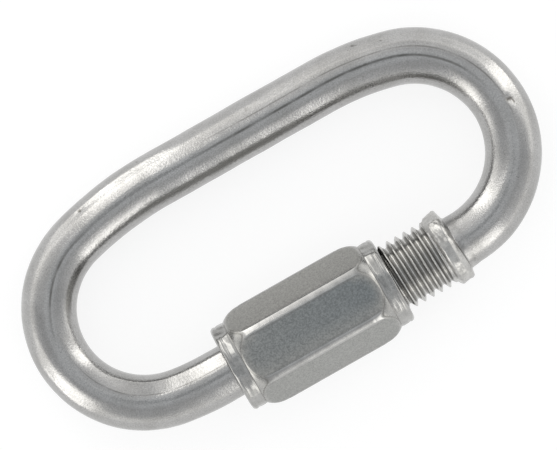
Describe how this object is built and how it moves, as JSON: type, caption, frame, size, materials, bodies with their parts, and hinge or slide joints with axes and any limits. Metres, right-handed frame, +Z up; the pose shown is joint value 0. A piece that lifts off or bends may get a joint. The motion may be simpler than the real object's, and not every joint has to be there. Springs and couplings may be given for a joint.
{
  "type": "chain quick link",
  "caption": "Oval connecting link of bent round steel rod with a threaded gate closed by a long hexagon sleeve nut, shown with the nut screwed back off the collar.",
  "frame": {"origin": "on the surface that the link lies on, under the middle of its bounding box", "axes": "+X along the link and along the nut's travel towards the collar, +Y from the gate to the spine, +Z up from the surface"},
  "size_m": [0.05, 0.0254, 0.0084],
  "materials": {
    "rod_steel": "tumbled stainless steel, satin with small dents",
    "nut_steel": "tumbled stainless steel, fine matt grain on the flats"
  },
  "bodies": {
    "link": {"link_body": "rod_steel"},
    "nut": {"sleeve_nut": "nut_steel"}
  },
  "joints": [
    {"name": "nut_travel", "type": "slide", "parent": "link", "child": "nut", "axis": [1, 0, 0], "range_m": [-0.0056, 0.0049]}
  ]
}
